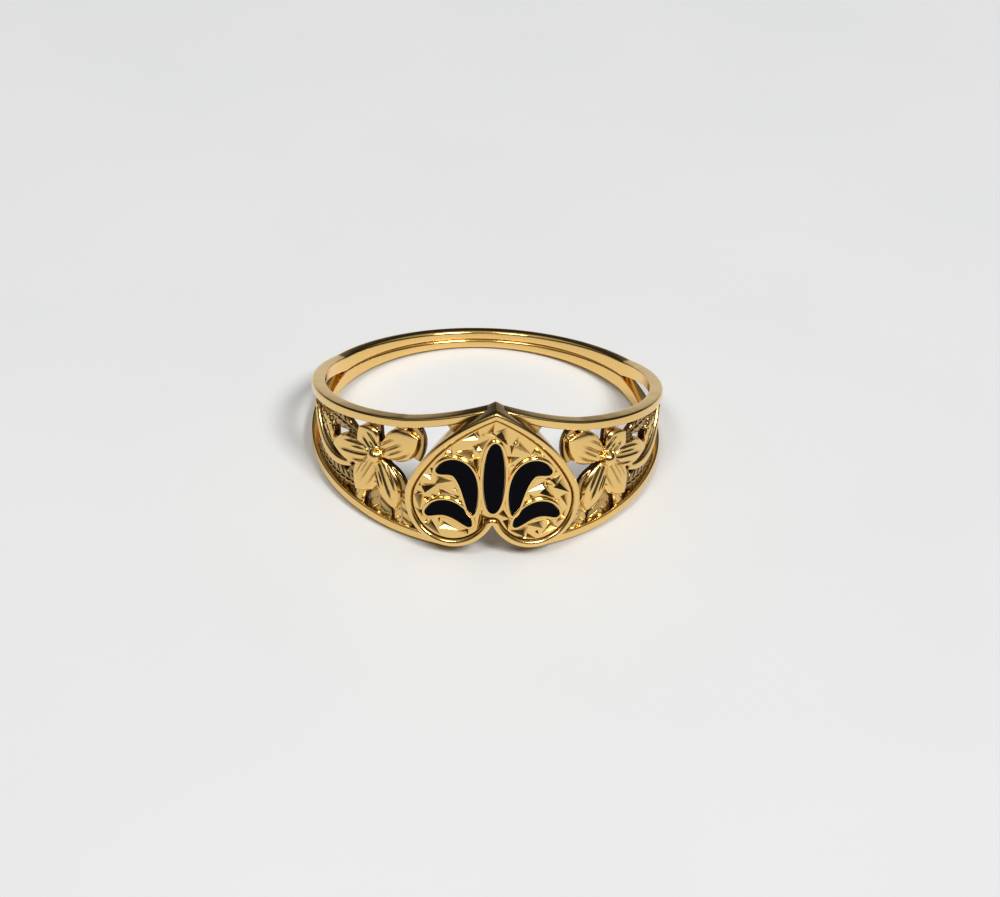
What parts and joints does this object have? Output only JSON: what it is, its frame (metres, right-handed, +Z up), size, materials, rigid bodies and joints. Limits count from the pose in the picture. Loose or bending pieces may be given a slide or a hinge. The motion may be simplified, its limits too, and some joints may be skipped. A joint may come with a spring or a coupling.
{
  "type": "finger ring",
  "caption": "Gold finger ring whose split, pierced flower shoulders carry a heart-shaped head inlaid with dark enamel.",
  "frame": {"origin": "on the surface the ring lies on, below the middle of its footprint", "axes": "+Z up from the surface, -Y towards the enamelled head, +X to the right as the head is faced; the finger hole's axis leans 9.5 degrees from +Z towards +Y"},
  "size_m": [0.019, 0.0199, 0.0084],
  "materials": {
    "gold": "polished yellow gold",
    "enamel": "glossy blue-black enamel"
  },
  "bodies": {
    "root": {"ring": "gold", "enamel_centre": "enamel", "enamel_left": "enamel", "enamel_right": "enamel", "enamel_left_foot": "enamel", "enamel_right_foot": "enamel"}
  },
  "joints": []
}
